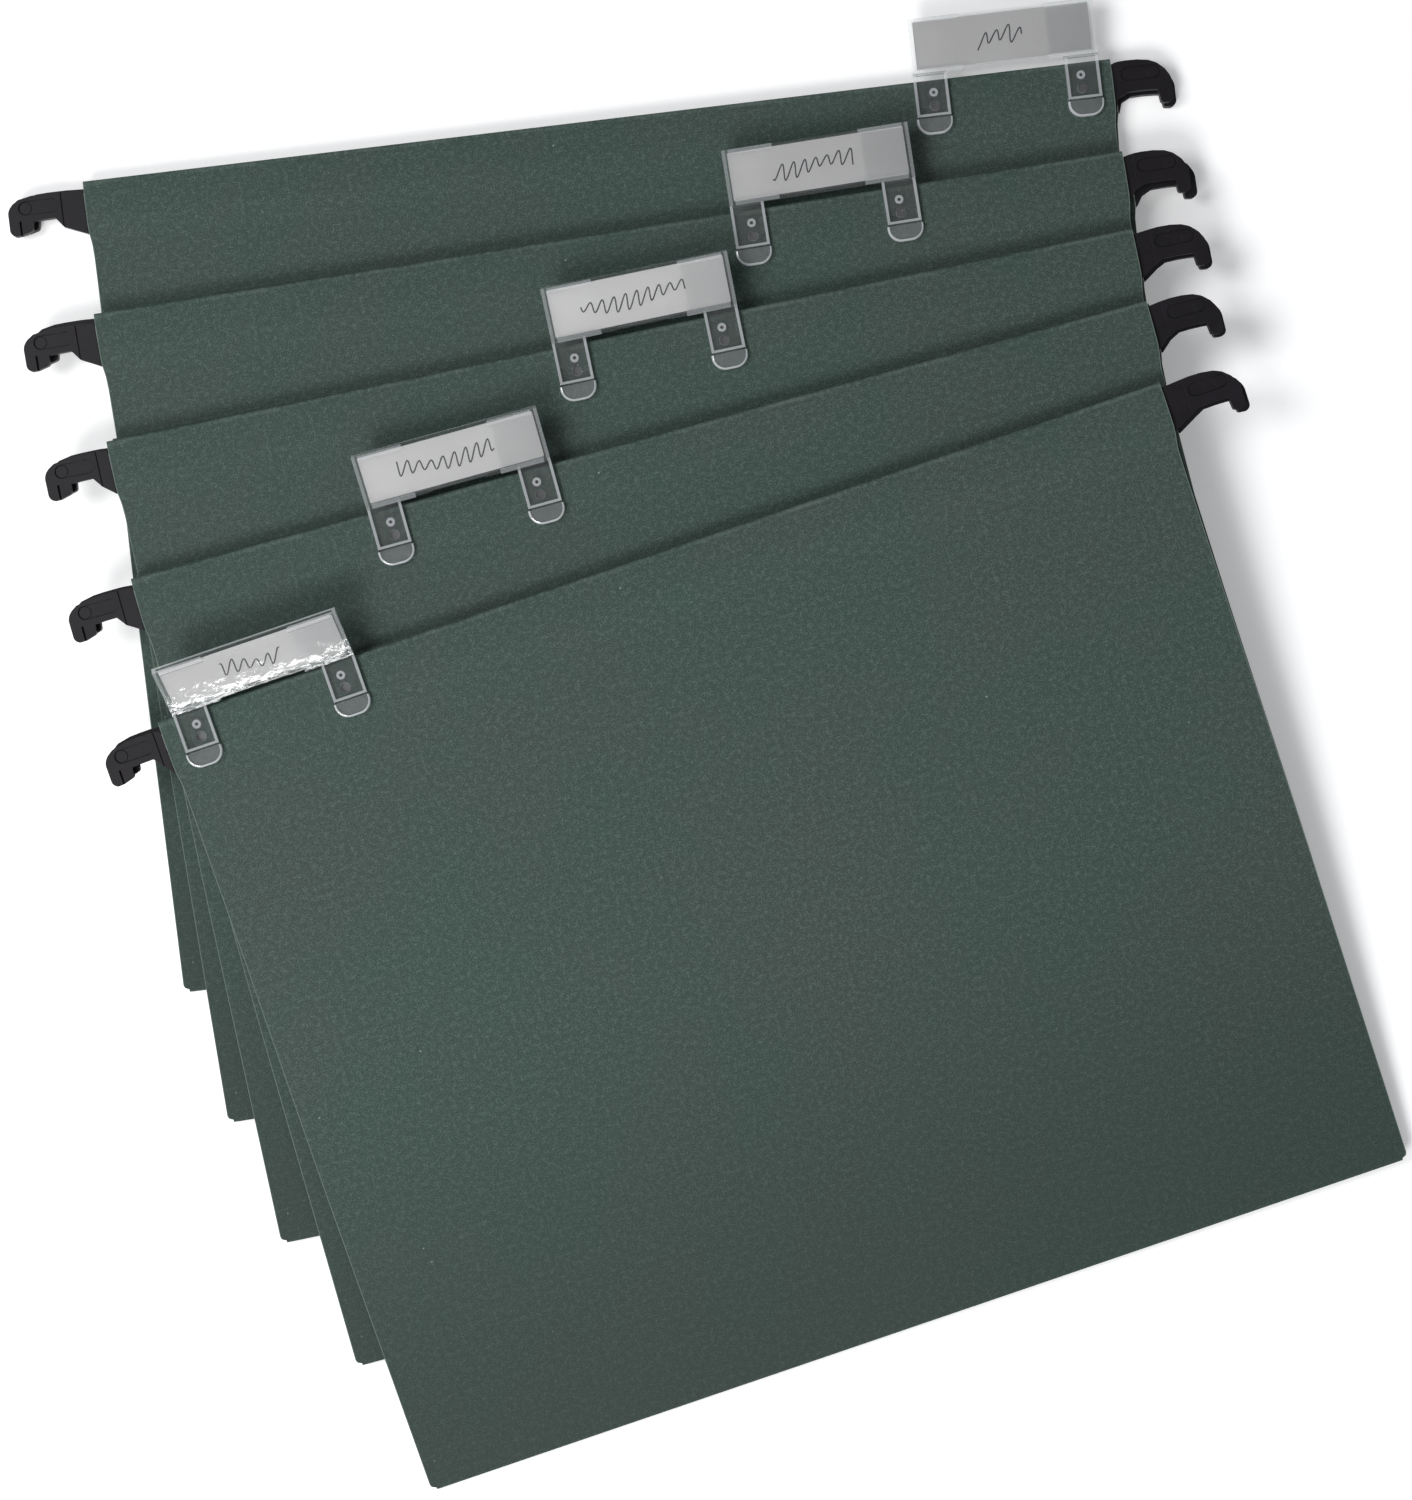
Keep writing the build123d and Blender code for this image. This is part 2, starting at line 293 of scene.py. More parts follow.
def break_edges(piece, width, harden=True):
    """Small bevel on every sharp edge. The width is in millimetres."""
    modify(
        piece, "BEVEL", width=width * MM, segments=2, limit_method="ANGLE",
        angle_limit=radians(SHARP), harden_normals=harden,
    )


def turn_out(piece):
    """Makes all faces of a closed piece point outwards."""
    only(piece)
    bpy.ops.object.mode_set(mode="EDIT")
    bpy.ops.mesh.select_all(action="SELECT")
    bpy.ops.mesh.remove_doubles(threshold=0.001 * MM)
    bpy.ops.mesh.normals_make_consistent(inside=False)
    leave()


def copy_of(source, name, place=None):
    """Copy of a piece with its own mesh, put at a place."""
    piece = source.copy()
    piece.data = source.data.copy()
    piece.name = name
    piece.data.name = name
    bpy.context.scene.collection.objects.link(piece)
    if place is not None:
        move(piece, place)
    return piece


def move(piece, place):
    """Moves a piece's mesh to a place, and keeps its faces outwards if the place mirrors it."""
    piece.data.transform(place)
    if place.determinant() < 0:
        piece.data.flip_normals()


def smooth(piece, angle=35):
    """Smooth shading, with edges sharper than the angle left sharp."""
    only(piece)
    bpy.ops.object.shade_smooth_by_angle(angle=radians(angle))


def ease(value, start, end):
    """Smooth step from 0 at start to 1 at end."""
    share = min(max((value - start) / (end - start), 0), 1)
    return share * share * (3 - 2 * share)


def within(value, band):
    """Smooth step up over a band's first pair of values and down over its second."""
    grow, fade = band
    return ease(value, *grow) * (1 - ease(value, *fade))


# Places from the frame


def placed(origin, across, normal):
    """Matrix of a frame from its origin, x axis and z axis."""
    forward = normal.cross(across).normalized()
    turn = Matrix((across, forward, normal)).transposed()
    return Matrix.Translation(origin) @ turn.to_4x4()


def file_frames(number):
    """Frames of a file: its back board's outer face, its front board's, and midway at the crease."""
    crease = JOINTS[f"file{number}_open"]
    centre = Vector(crease["pos_m"])
    across = Vector(crease["axis"]).normalized()
    lift = JOINTS.get(f"file{number}_lift")
    back = Vector(lift["axis"]) if lift else Vector((0, 0, 1))
    front = Vector(JOINTS[f"file{number}_tab_off"]["axis"])
    middle = (back + front).normalized()
    return {
        "back": placed(centre - back * CREASE_OUTER, across, back),
        "front": placed(centre + front * CREASE_OUTER, across, front),
        "middle": placed(centre, across, middle),
        "wedge": back.angle(front),
    }


def points_of(node, place):
    """Corner points of a CAD node in a frame."""
    inverse = place.inverted()
    return [inverse @ vertex.co for vertex in frame["nodes"][node].data.vertices]


def extent(node, place):
    """Lowest and highest corner of a CAD node in a frame."""
    points = points_of(node, place)
    low = Vector([min(point[axis] for point in points) for axis in range(3)])
    high = Vector([max(point[axis] for point in points) for axis in range(3)])
    return low, high


def bar_turn(number, place):
    """Small angle between a file's back bar and its crease."""
    points = points_of(f"file{number}_back_bar", place)
    left = [point for point in points if point.x < 0]
    right = [point for point in points if point.x > 0]
    run = sum(right, Vector()) / len(right) - sum(left, Vector()) / len(left)
    return atan2(run.y, run.x)


PLACES = {number: file_frames(number) for number in FILES}
BOARD_LOW, BOARD_HIGH = extent("file5_front_board", PLACES[5]["front"])
HALF_WIDTH = BOARD_HIGH.x
HEIGHT = BOARD_HIGH.y
HEM_THICK = -BOARD_LOW.z
WEDGE = PLACES[5]["wedge"]


# Finishes


class Socket:
    """Shader socket that takes part in Python arithmetic."""

    def __init__(self, finish, link):
        self.finish = finish
        self.link = link

    def maths(self, operation, first, second):
        return self.finish.node("Math", {"operation": operation}, {0: first, 1: second})

    def __add__(self, other):
        return self.maths("ADD", self, other)

    def __sub__(self, other):
        return self.maths("SUBTRACT", self, other)

    def __rsub__(self, other):
        return self.maths("SUBTRACT", other, self)

    def __mul__(self, other):
        return self.maths("MULTIPLY", self, other)

    def __lt__(self, other):
        return self.maths("LESS_THAN", self, other)

    __radd__ = __add__


class Finish:
    """Material made of nodes."""

    def __init__(self, name):
        self.material = bpy.data.materials.new(name)
        self.material.use_nodes = True
        self.tree = self.material.node_tree
        self.tree.nodes.clear()

    def node(self, kind, settings=None, inputs=None, output=0):
        """Adds a node with its settings and its inputs' values or links, and returns one output."""
        made = self.tree.nodes.new("ShaderNode" + kind)
        for key, value in (settings or {}).items():
            setattr(made, key, value)
        for key, value in (inputs or {}).items():
            if isinstance(value, Socket):
                self.tree.links.new(value.link, made.inputs[key])
            else:
                made.inputs[key].default_value = value
        return Socket(self, made.outputs[output])

    def between(self, value, start, end):
        """0 below start, 1 above end, and smooth between them."""
        return self.node(
            "MapRange", {"interpolation_type": "SMOOTHSTEP"},
            {"Value": value, "From Min": start, "From Max": end},
        )

    def tint(self, share, first, second):
        """Mixes two colours."""
        settings = {"data_type": "RGBA"}
        return self.node("Mix", settings, {0: share, 6: first, 7: second}, output=2)

    def cloud(self, where, scale, detail=3.0, roughness=0.5):
        """Soft random pattern between 0 and 1."""
        inputs = {"Vector": where, "Scale": scale, "Detail": detail, "Roughness": roughness}
        return self.node("TexNoise", {}, inputs)

    def stretched(self, where, scale):
        """Coordinates scaled by a different amount on each axis."""
        return self.node("Mapping", {}, {"Vector": where, "Scale": scale})

    def magnitude(self, value):
        """A value without its sign."""
        return self.node("Math", {"operation": "ABSOLUTE"}, {0: value})

    def dots(self, where, spacing, radius, share):
        """Sparse round specks: their usual spacing, radius and the share of places that have one."""
        inputs = {"Vector": where, "Scale": 1 / spacing}
        near = self.node("TexVoronoi", {}, inputs)
        which = self.node("TexVoronoi", {}, inputs, output=1)
        parts = self.node("SeparateColor", {}, {0: which})
        return (near < radius / spacing) * (parts < share)

    def bump(self, height, distance, strength=1.0):
        """Fine relief for a shader's Normal."""
        return self.node("Bump", {}, {"Height": height, "Distance": distance, "Strength": strength})

    def output(self, shader):
        """Ends the material with a shader."""
        end = self.tree.nodes.new("ShaderNodeOutputMaterial")
        self.tree.links.new(shader.link, end.inputs["Surface"])
        return self.material


def board_finish():
    """Matt dark green board: mottled, with fine fibres, specks, paler worn edges and painted shade
    towards its crease.
    """
    finish = Finish("green_board")
    where = finish.node("UVMap", {"uv_map": "sheet"})
    broad = finish.cloud(where, 11, detail=2)
    patches = finish.cloud(where, 45, detail=4, roughness=0.6)
    mottle = finish.cloud(where, 650, detail=4, roughness=0.75)
    grain = finish.cloud(where, 2400, detail=2, roughness=0.8)
    fibres = finish.cloud(finish.stretched(where, (900, 190, 1)), 1, detail=2)
    green = (0.0360, 0.0660, 0.0540, 1)
    brown = (0.0440, 0.0630, 0.0540, 1)
    pale = (0.105, 0.150, 0.130, 1)
    dark = (0.014, 0.024, 0.020, 1)
    pale_speck = (0.24, 0.29, 0.26, 1)
    dark_speck = (0.010, 0.014, 0.012, 1)
    # painted shade colour, laid on towards the crease
    crease_shade_colour = (0.016, 0.028, 0.023, 1)
    bare_edge = (0.17, 0.215, 0.19, 1)
    rubbed = (0.16, 0.215, 0.19, 1)
    colour = finish.tint(finish.between(broad + patches * 0.5, 0.55, 1.0), green, brown)
    lighter = finish.between(mottle * 0.6 + grain * 0.4, 0.45, 0.66) * 0.68
    colour = finish.tint(lighter + finish.between(fibres, 0.56, 0.8) * 0.15, colour, pale)
    colour = finish.tint(finish.between(1 - grain, 0.44, 0.64) * 0.62, colour, dark)
    colour = finish.tint(finish.dots(where, 9 * MM, 0.28 * MM, 0.30) * 0.7, colour, pale_speck)
    colour = finish.tint(finish.dots(where, 14 * MM, 0.30 * MM, 0.16) * 0.7, colour, dark_speck)
    across = finish.node("SeparateXYZ", {}, {0: where})
    along = finish.node("SeparateXYZ", {}, {0: where}, output=1)
    edge = finish.between(finish.magnitude(across - MAP_MIDDLE), HALF_WIDTH - 0.35 * MM, HALF_WIDTH)
    from_crease = finish.magnitude(along - MAP_MIDDLE)
    from_hem_fold = finish.magnitude(from_crease - (HEIGHT + 0.3 * MM))
    worn = 1 - finish.between(from_hem_fold, 0.25 * MM, 1.1 * MM)
    worn = worn * finish.between(patches + mottle * 0.5, 0.60, 1.0)
    # Painted shade: the board darkens towards its crease, standing in for light falling off over the
    # lower part of the pile.
    crease_shade = 1 - finish.between(from_crease, 0.0, 140 * MM)
    colour = finish.tint(crease_shade * 0.50, colour, crease_shade_colour)
    colour = finish.tint(edge * 0.75, colour, bare_edge)
    colour = finish.tint(worn * 0.3, colour, rubbed)
    relief = grain * 0.5 + mottle * 0.35 + fibres * 0.25
    shader = finish.node("BsdfPrincipled", {}, {
        "Base Color": colour,
        "Roughness": 0.72 + mottle * 0.14,
        "Specular IOR Level": 0.35,
        "Normal": finish.bump(relief, 0.05 * MM, 0.7),
    })
    return finish.output(shader)


def hook_finish():
    """Near-black moulded nylon with a faint purple cast, scuffed and finely textured."""
    finish = Finish("black_nylon")
    where = finish.node("TexCoord", {}, {}, output=3)
    flow = finish.cloud(where, 160, detail=3)
    scuff = finish.cloud(finish.stretched(where, (300, 900, 600)), 1, detail=4, roughness=0.65)
    grain = finish.cloud(where, 3200, detail=2)
    colour = finish.tint(flow, (0.0050, 0.0040, 0.0054, 1), (0.0115, 0.0095, 0.0130, 1))
    colour = finish.tint(finish.between(scuff, 0.60, 0.78) * 0.22, colour, (0.050, 0.046, 0.054, 1))
    shader = finish.node("BsdfPrincipled", {}, {
        "Base Color": colour,
        "Roughness": 0.36 + flow * 0.14 + scuff * 0.10,
        "Specular IOR Level": 0.22,
        "Normal": finish.bump(grain * 0.6 + flow * 0.5, 0.05 * MM, 0.6),
    })
    return finish.output(shader)


def clear_finish():
    """Clear moulded plastic with faint scratches and flow marks, and a painted highlight that makes it
    milky where its walls stand edge-on.
    """
    finish = Finish("clear_plastic")
    where = finish.node("TexCoord", {}, {}, output=3)
    edge_highlight = finish.node("Attribute", {"attribute_name": "edge_highlight"}, {}, output=2)
    flow = finish.cloud(where, 260, detail=2)
    scratch = finish.cloud(finish.stretched(where, (1600, 160, 400)), 1, detail=3)
    # Painted highlight from each face's mark, shown as milky plastic, plus faint real haze from
    # scratches and flow.
    haze_and_highlight = 0.005 + edge_highlight * 0.55 + finish.between(scratch, 0.60, 0.80) * 0.04 + flow * 0.02
    clear = finish.node("BsdfTransparent", {}, {"Color": (0.985, 0.99, 0.99, 1)})
    milky = finish.node("BsdfPrincipled", {}, {
        "Base Color": (0.74, 0.77, 0.79, 1),
        "Roughness": 0.22,
    })
    body = finish.node("MixShader", {}, {0: haze_and_highlight, 1: clear, 2: milky})
    wavy = finish.bump(flow, 0.05 * MM, 0.4)
    gloss = finish.node("BsdfGlossy", {}, {"Color": (1, 1, 1, 1), "Roughness": 0.03, "Normal": wavy})
    sheen = finish.node("Fresnel", {}, {"IOR": 1.5})
    return finish.output(finish.node("MixShader", {}, {0: sheen, 1: body, 2: gloss}))


def card_finish():
    """Off-white uncoated card."""
    finish = Finish("white_card")
    where = finish.node("TexCoord", {}, {}, output=3)
    broad = finish.cloud(where, 60, detail=2)
    grain = finish.cloud(where, 2200, detail=3, roughness=0.7)
    colour = finish.tint(broad, (0.64, 0.62, 0.62, 1), (0.72, 0.705, 0.705, 1))
    colour = finish.tint(grain * 0.18, colour, (0.60, 0.585, 0.58, 1))
    shader = finish.node("BsdfPrincipled", {}, {
        "Base Color": colour,
        "Roughness": 0.80 + grain * 0.10,
        "Specular IOR Level": 0.25,
        "Normal": finish.bump(grain, 0.03 * MM, 0.6),
    })
    return finish.output(shader)


def ink_finish():
    """Dark pen ink that varies with the pen's pressure."""
    finish = Finish("pen_ink")
    where = finish.node("TexCoord", {}, {}, output=3)
    pressure = finish.cloud(where, 700, detail=2)
    colour = finish.tint(pressure, (0.012, 0.012, 0.016, 1), (0.075, 0.075, 0.085, 1))
    inputs = {"Base Color": colour, "Roughness": 0.45 + pressure * 0.2}
    return finish.output(finish.node("BsdfPrincipled", {}, inputs))


def steel_finish():
    """Dull oiled steel strip, brushed along its length."""
    finish = Finish("steel_strip")
    where = finish.node("TexCoord", {}, {}, output=3)
    brushed = finish.cloud(finish.stretched(where, (40, 2600, 2600)), 1, detail=4)
    stain = finish.cloud(where, 70, detail=3)
    colour = finish.tint(stain, (0.10, 0.105, 0.11, 1), (0.19, 0.195, 0.20, 1))
    shader = finish.node("BsdfPrincipled", {}, {
        "Base Color": colour,
        "Metallic": 1.0,
        "Roughness": 0.28 + brushed * 0.22,
        "Normal": finish.bump(brushed, 0.02 * MM, 0.5),
    })
    return finish.output(shader)


def floor_finish():
    """Plain pale floor."""
    finish = Finish("pale_floor")
    where = finish.node("TexCoord", {}, {}, output=3)
    broad = finish.cloud(where, 3, detail=2)
    colour = finish.tint(broad, (0.92, 0.92, 0.925, 1), (0.95, 0.95, 0.95, 1))
    shader = finish.node("BsdfPrincipled", {}, {
        "Base Color": colour,
        "Roughness": 0.7,
        "Emission Color": colour,
        "Emission Strength": FLOOR_GLOW,
    })
    return finish.output(shader)


def paint(piece, material):
    """Gives a piece one material."""
    piece.data.materials.clear()
    piece.data.materials.append(material)


# Folded board


def fold(piece, runs, line, angle):
    """Turns the part of a sheet beyond a line about that line."""
    at_line = min(range(len(runs)), key=lambda index: abs(runs[index] - line))
    centre = piece.data.vertices[at_line].co.copy()
    centre.x = 0
    choose(piece, vertices=lambda vertex: runs[vertex.index] > line + 0.01 * MM)
    bpy.ops.transform.rotate(value=angle, orient_axis="X", center_override=centre)
    leave()


def bend_lines(start, radius, angle, steps):
    """Lines and turns of a round bend made of equal flats."""
    turn = angle / steps
    chord = 2 * radius * sin(abs(turn) / 2)
    shares = [0.5] + [1.0] * (steps - 1) + [0.5]
    return [(start + index * chord, turn * share) for index, share in enumerate(shares)]


def board_blank():
    """Front half of a board folded up from flat, then mirrored into the back half."""
    middle = BOARD_THICK / 2
    crease = bend_lines(0, CREASE_OUTER - middle, pi - WEDGE, CREASE_STEPS)[CREASE_STEPS // 2:]
    crease = [(line - crease[0][0], turn) for line, turn in crease]
    crease[0] = (0.0, crease[0][1] / 2)
    panel_start = crease[-1][0]
    hem_start = panel_start + HEIGHT - HEM_THICK / 2
    hem = bend_lines(hem_start, HEM_THICK / 2 - middle, pi, HEM_STEPS)
    pocket_start = hem[-1][0]
    slope_start = pocket_start + HEM_POCKET - HEM_THICK / 2
    slope_drop = HEM_THICK - 2 * BOARD_THICK
    slope_turn = atan2(slope_drop, HEM_SLOPE)
    slope_end = slope_start + sqrt(slope_drop ** 2 + HEM_SLOPE ** 2)
    slope = [(slope_start, slope_turn), (slope_end, -slope_turn)]
    sheet_end = slope_end + HEM_GLUE
    fine_start = hem_start - FINE_ROWS_FROM
    rows = [line for line, turn in crease + hem + slope if line > 0]
    plain = ceil((fine_start - panel_start) / ROW_STEP)
    rows += [panel_start + (fine_start - panel_start) * step / plain for step in range(1, plain + 1)]
    fine = ceil(FINE_ROWS_FROM / FINE_ROW_STEP)
    rows += [fine_start + FINE_ROWS_FROM * step / fine for step in range(1, fine)]
    rows += [panel_start + CORNER_ROUND * share for share in (0.3, 0.65, 1.0)]
    rows += [pocket_start + HEM_POCKET * share for share in (0.25, 0.5, 0.7)]
    bpy.ops.object.select_all(action="DESELECT")
    bpy.ops.mesh.primitive_plane_add(size=1, rotation=(pi / 2, 0, 0))
    sheet = bpy.context.object
    sheet.scale = (2 * HALF_WIDTH, sheet_end, 1)
    sheet.location = (0, -(CREASE_OUTER - middle), sheet_end / 2)
    bpy.ops.object.transform_apply()
    only(sheet)
    bpy.ops.object.mode_set(mode="EDIT")
    for row in sorted(rows):
        bpy.ops.mesh.select_all(action="SELECT")
        bpy.ops.mesh.bisect(plane_co=(0, 0, row), plane_no=(0, 0, 1))
    for column in range(1, COLUMNS):
        place = HALF_WIDTH * (2 * column / COLUMNS - 1)
        bpy.ops.mesh.select_all(action="SELECT")
        bpy.ops.mesh.bisect(plane_co=(place, 0, 0), plane_no=(1, 0, 0))
    leave()
    runs = [vertex.co.z for vertex in sheet.data.vertices]
    across = [vertex.co.x for vertex in sheet.data.vertices]
    for name, values in (("run", runs), ("across", across)):
        sheet.data.attributes.new(name, "FLOAT", "POINT").data.foreach_set("value", values)
    for line, turn in crease + hem + slope:
        fold(sheet, runs, line, turn)
    modify(sheet, "MIRROR", use_axis=(False, False, True), use_clip=False, merge_threshold=0.001 * MM)
    return sheet


def stretch_out(sheet):
    """Lays out the sheet's own map: across and along the board as cut, from the middle of its crease."""
    mesh = sheet.data
    layer = mesh.uv_layers.new(name="sheet")
    across = mesh.attributes["across"].data
    run = mesh.attributes["run"].data
    for face in mesh.polygons:
        side = 1 if face.center.z > 0 else -1
        for loop in face.loop_indices:
            vertex = mesh.loops[loop].vertex_index
            place = Vector((across[vertex].value, side * run[vertex].value))
            layer.data[loop].uv = place + Vector((MAP_MIDDLE, MAP_MIDDLE))


def tab_middle(number):
    """Middle of a file's tab along the top edge."""
    low, high = extent(f"file{number}_tab_holder", PLACES[number]["front"])
    return (low.x + high.x) / 2


TAB_MIDDLES = {number: tab_middle(number) for number in FILES}
TAB_LOW, TAB_HIGH = extent("file5_tab_holder", PLACES[5]["front"])
TAB_WIDTH = (TAB_HIGH.x - TAB_LOW.x) / MM
LEG_OFFSET = (TAB_WIDTH - LEG_WIDTH) / 2


def pressed(across, number, outwards):
    """1 where the file's weight or a leg of the tab holds the hem flat, 0 away from it."""
    if outwards < 0:
        return 1
    away = abs(abs(across - TAB_MIDDLES[number]) - LEG_OFFSET * MM)
    return 1 - ease(away, PRESSED_NEAR, PRESSED_FAR)


def board_shift(point, number, turn):
    """Where a point of the flat, square board goes once the board is made, carried and laid down."""
    outwards = 1 if point.z > 0 else -1
    face_z = CREASE_OUTER * cos(WEDGE / 2) + point.y * sin(WEDGE / 2)
    depth = min(max((face_z - abs(point.z)) / HEM_THICK, 0), 1)
    below_top = HEIGHT - point.y
    moved = point.copy()
    inset = PANEL_INSET * within(below_top, PANEL_INSET_BAND)
    if point.y < CORNER_ROUND:
        drop = CORNER_ROUND - max(point.y, 0)
        inset += CORNER_ROUND - sqrt(max(CORNER_ROUND ** 2 - drop ** 2, 0))
    if abs(point.x) > HALF_WIDTH - NEAR * MM:
        moved.x -= inset * (1 if point.x > 0 else -1)
    held = pressed(point.x, number, outwards)
    swell = HEM_SWELL + (HEM_SWELL_PRESSED - HEM_SWELL) * held
    swell *= within(below_top, HEM_SWELL_BAND)
    valley = VALLEY_DEPTH * within(below_top, VALLEY_BAND)
    free = ease(point.y, *FREE_FROM_CREASE) * ease(below_top, *FREE_FROM_TOP)
    seed = Vector((7.3 * number, 3.1 * outwards, 0))
    stretched = Vector((point.x, point.y * WAVE_STRETCH, 0))
    wave = WAVE_HEIGHT * free * noise.noise(stretched / WAVE_SIZE + seed)
    lift = (swell - valley) * (1 - depth) + wave
    if number == 1 and outwards > 0:
        arch = sin(pi * min(max(point.y / HEIGHT, 0), 1))
        slow = noise.noise(Vector((point.x, point.y, 0)) / TOP_BOW_SIZE + seed)
        lift += TOP_BOW * free * (TOP_BOW_ARCH * arch + slow)
    moved.z += outwards * lift
    if outwards < 0:
        share = min(max(point.y / HEIGHT, 0), 1)
        moved.x -= turn * point.y
        moved.y += turn * point.x * share
    return moved


def make_boards():
    """The five folded boards, with holes for the studs of their tabs."""
    material = board_finish()
    blank = board_blank()
    stretch_out(blank)
    for number in FILES:
        place = PLACES[number]
        turn = bar_turn(number, place["back"])
        board = copy_of(blank, f"file{number}_board")
        for vertex in board.data.vertices:
            vertex.co = board_shift(vertex.co, number, turn)
        modify(board, "SOLIDIFY", thickness=BOARD_THICK, offset=0.0, use_even_offset=True)
        board.data.transform(place["middle"])
        drills = []
        for side in (-1, 1):
            stud_x = TAB_MIDDLES[number] / MM + side * (LEG_OFFSET - STUD_INSET)
            for drop in (RING_DROP, BOSS_DROP):
                drill = rod(stud_x, HEIGHT / MM - drop, *STUD_HOLE_REACH, STUD_HOLE_RADIUS)
                drill.data.transform(place["front"])
                drills.append(drill)
        combine(board, drills, "DIFFERENCE")
        paint(board, material)
        smooth(board, 40)
        back, front = f"file{number}_back", f"file{number}_front"
        up = place["middle"].to_3x3() @ Vector((0, 0, 1))
        centre = place["middle"].translation
        centre - up * 0.35 * MM
        centre + up * 0.35 * MM
        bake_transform(board)
        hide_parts(back + "_board", front + "_board")
    bpy.data.objects.remove(blank)


# Hooks


def stadium(x0, x1, y0, y1, z0, z1):
    """Block with fully rounded ends."""
    shape = block((x0, y0, z0), (x1, y1, z1))
    round_edges(shape, upright, (y1 - y0) / 2 - OVERLAP, 6)
    return shape


def hook_body(stations):
    """Arm of a hook, drawn out from its root section by section."""
    reach, top, bottom = stations[0]
    bpy.ops.object.select_all(action="DESELECT")
    bpy.ops.mesh.primitive_plane_add(size=1, rotation=(0, pi / 2, 0))
    arm = bpy.context.object
    arm.scale = (HOOK_THICK, (bottom - top) * MM, 1)
    arm.location = Vector((reach, -(top + bottom) / 2, -HOOK_THICK / MM / 2)) * MM
    bpy.ops.object.transform_apply()
    only(arm)
    bpy.ops.object.mode_set(mode="EDIT")
    bpy.ops.mesh.select_mode(type="FACE")
    bpy.ops.mesh.select_all(action="SELECT")
    for (u0, top0, bottom0), (u1, top1, bottom1) in zip(stations, stations[1:]):
        rise = (top0 + bottom0 - top1 - bottom1) / 2
        step = Vector((u1 - u0, rise, 0)) * MM
        bpy.ops.mesh.extrude_region_move(TRANSFORM_OT_translate={"value": step})
        centre = Vector((u1, -(top1 + bottom1) / 2, 0)) * MM
        growth = (bottom1 - top1) / (bottom0 - top0)
        bpy.ops.transform.resize(value=(1, growth, 1), center_override=centre)
    leave()
    turn_out(arm)
    return arm


def hook_model(shape):
    """One hook: outward is +x, down is -y, and its outer face is at z = 0."""
    stations = shape["stations"]
    end = stations[-1][0]

    def at_end(a, b):
        return upright(a, b) and a.x > end - NEAR

    def at_nose(a, b):
        return upright(a, b) and abs(a.x - shape["nose_start"]) < NEAR and a.y < -HOOK_MIDDLE

    arm = hook_body(stations)
    round_edges(arm, at_end, HOOK_END_ROUND, 4)
    round_edges(arm, at_nose, HOOK_NOSE_ROUND, 3)
    collar = block((-PAST, -COLLAR_LOW, -COLLAR_STEP), (COLLAR_END, 0, PAST))
    pad_end = end - PAD_INSET
    pad_y = -(stations[3][1] + shape["pad_drop"])
    pad = stadium(COLLAR_END + PAD_GAP, pad_end, pad_y - PAD_HALF, pad_y + PAD_HALF, -PAD_DEPTH, PAST)
    disc = rod(pad_end - PAD_HALF, pad_y, -PAST, -PAD_DISC_DEPTH, PAD_DISC_RADIUS)
    combine(pad, [disc], "DIFFERENCE")
    cuts = [collar, pad]
    if shape["slit"]:
        slit_end = end - SLIT_INSET
        cuts.append(block((slit_end - SLIT_WIDTH, -SLIT_LOW, -SLIT_DEPTH), (slit_end, -SLIT_TOP, PAST)))
    combine(arm, cuts, "DIFFERENCE")
    break_edges(arm, HOOK_EDGE)
    return arm


def make_hooks():
    """Four hooks on each file."""
    material = hook_finish()
    models = {word: hook_model(shape) for word, shape in HOOK_SHAPES.items()}
    for model in models.values():
        paint(model, material)
    for number in FILES:
        place = PLACES[number]
        skew = Matrix.Rotation(bar_turn(number, place["back"]), 4, "Z")
        left_end = extent(f"file{number}_front_hook_left", place["front"])[0].x
        right_end = extent(f"file{number}_front_hook_right", place["front"])[1].x
        slide = (left_end + right_end) / 2
        for face, ground, facing in (("front", place["front"], 1), ("back", place["back"] @ skew, -1)):
            for word, shape in HOOK_SHAPES.items():
                side = shape["side"]
                edge = side * HALF_WIDTH + slide
                seat = Matrix.Translation((edge, HEIGHT, 0)) @ Matrix.Diagonal((side, 1, facing, 1))
                name = f"file{number}_{face}_hook_{word}"
                hook = copy_of(models[word], name + "_moulding")
                for vertex in hook.data.vertices:
                    if vertex.co.x < ROOT_REACH:
                        vertex.co.x -= side * slide
                move(hook, ground @ seat)
                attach(hook, f"file{number}_{face}")
                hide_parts(name)
    for model in models.values():
        bpy.data.objects.remove(model)


# Clear tabs


def window_lean(number):
    """Angle between a tab's window and its board."""
    up = Vector(JOINTS[f"file{number}_card_out"]["axis"])
    return up.angle(PLACES[number]["front"].to_3x3() @ Vector((0, 1, 0)))


def window_model(width, height):
    """Card pocket: back, cover, walls and finger lips. Its origin is the middle of its bottom edge."""
    half = width / 2
    back = TAB_PLATE / 2
    front = back + POCKET
    face = front + COVER_THICK
    body = block((-half, 0, -back), (half, height, back))
    parts = [block((-half, NOTCH_DEPTH, front), (half, height - NOTCH_DEPTH, face))]
    for side in (-1, 1):
        x0, x1 = sorted((side * NOTCH_WIDTH / 2, side * half))
        parts.append(block((x0, 0, front), (x1, height, face)))
        x0, x1 = sorted((side * (half - END_WALL), side * half))
        parts.append(block((x0, 0, back - OVERLAP), (x1, height, face + WALL_RISE)))
        x0, x1 = sorted((side * FOOT_OPENING / 2, side * half))
        parts.append(block((x0, 0, back - OVERLAP), (x1, FOOT_WALL, front + OVERLAP)))
        x0, x1 = sorted((side * (half - LIP_INSET - LIP_LENGTH), side * (half - LIP_INSET)))
        for y0 in (0, height - LIP_WIDTH):
            parts.append(block((x0, y0, face - OVERLAP), (x1, y0 + LIP_WIDTH, face + LIP_HEIGHT)))
    return combine(body, parts)


